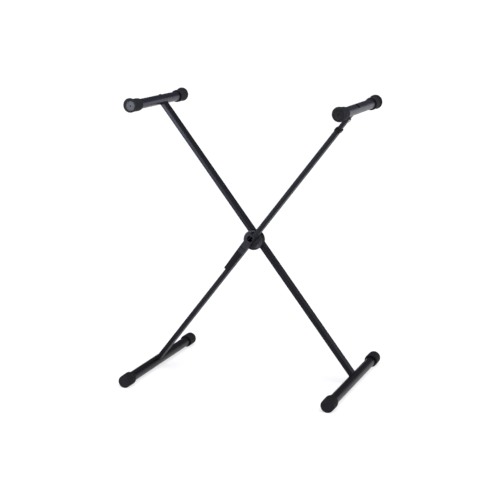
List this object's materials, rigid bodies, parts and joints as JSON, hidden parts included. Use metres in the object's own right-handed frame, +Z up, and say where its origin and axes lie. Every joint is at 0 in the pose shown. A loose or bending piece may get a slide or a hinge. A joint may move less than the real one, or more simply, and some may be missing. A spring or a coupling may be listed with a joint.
{
  "type": "x-style keyboard stand",
  "caption": "Folding x-frame keyboard stand of flat-sided steel legs crossing at a drum hub with a trigger lever, rubber-capped foot and arm tubes, and one telescoping arm",
  "frame": {"origin": "on the floor, midway between the four feet, under the hub", "axes": "+Z is up; +X runs across the X from the foot of the front leg to its arm; +Y runs along the foot and arm tubes, away from the front leg and lever"},
  "size_m": [0.6398, 0.486, 0.8121],
  "materials": {
    "black_enamel": "semi-gloss",
    "black_rubber": "matt",
    "black_plastic": "matt",
    "end_plug_plastic": "gloss",
    "zinc_steel": "zinc plated",
    "hub_steel": "plain steel"
  },
  "bodies": {
    "rear_leg": {"rear_leg_tube": "black_enamel", "rear_foot_tube": "black_enamel", "rear_foot_cap_front": "black_rubber", "rear_foot_cap_back": "black_rubber", "rear_arm_tube": "black_enamel", "rear_arm_cap_front": "black_rubber", "rear_arm_cap_back": "black_rubber", "rear_arm_end_plug_front": "end_plug_plastic", "rear_arm_end_plug_back": "end_plug_plastic", "rear_arm_hole_plug": "black_plastic", "rear_leg_side_plug": "black_plastic", "rear_hub_plate": "black_enamel", "ratchet_disc": "hub_steel", "pivot_bolt": "zinc_steel", "pivot_washer": "zinc_steel", "pivot_nut": "zinc_steel"},
    "front_leg": {"front_leg_tube": "black_enamel", "front_foot_tube": "black_enamel", "front_foot_cap_front": "black_rubber", "front_foot_cap_back": "black_rubber", "hub_cup": "black_enamel", "hub_yoke": "black_enamel", "thrust_washer": "zinc_steel", "lever_hinge_ear_front": "black_enamel", "lever_hinge_ear_back": "black_enamel", "lever_pin": "black_enamel", "lever_spring": "zinc_steel", "height_collar": "black_plastic"},
    "front_arm": {"insert_tube": "black_enamel", "front_arm_tube": "black_enamel", "front_arm_cap_front": "black_rubber", "front_arm_cap_back": "black_rubber", "front_arm_end_plug_front": "end_plug_plastic", "front_arm_end_plug_back": "end_plug_plastic", "front_arm_hole_plug": "black_plastic", "stop_bolt": "zinc_steel", "stop_nut": "zinc_steel"},
    "lever": {"lever_channel": "black_enamel", "lever_grip": "black_plastic", "grip_rivet_upper": "zinc_steel", "grip_rivet_lower": "zinc_steel"},
    "lock_bolt": {"lock_bolt": "hub_steel", "link_pin": "zinc_steel"}
  },
  "joints": [
    {"name": "fold", "type": "hinge", "parent": "rear_leg", "child": "front_leg", "pos_m": [0, 0.006, 0.40412], "axis": [0, 1, 0], "range_deg": [-70, 80]},
    {"name": "arm_height", "type": "slide", "parent": "front_leg", "child": "front_arm", "axis": [0.6115, 0, 0.7912], "range_m": [-0.027, 0.04]},
    {"name": "lever_pull", "type": "hinge", "parent": "front_leg", "child": "lever", "pos_m": [-0.02807, -0.021, 0.38284], "axis": [0, 1, 0], "range_deg": [0, 15], "stiffness_Nm_per_rad": 0.6, "springref_deg": -17.19},
    {"name": "lock_slide", "type": "slide", "parent": "front_leg", "child": "lock_bolt", "axis": [-0.6115, 0, -0.7912], "range_m": [0, 0.003]}
  ],
  "couplings": [
    {"joint": "lock_slide", "follows": "lever_pull", "m_per_rad": 0.01118}
  ]
}
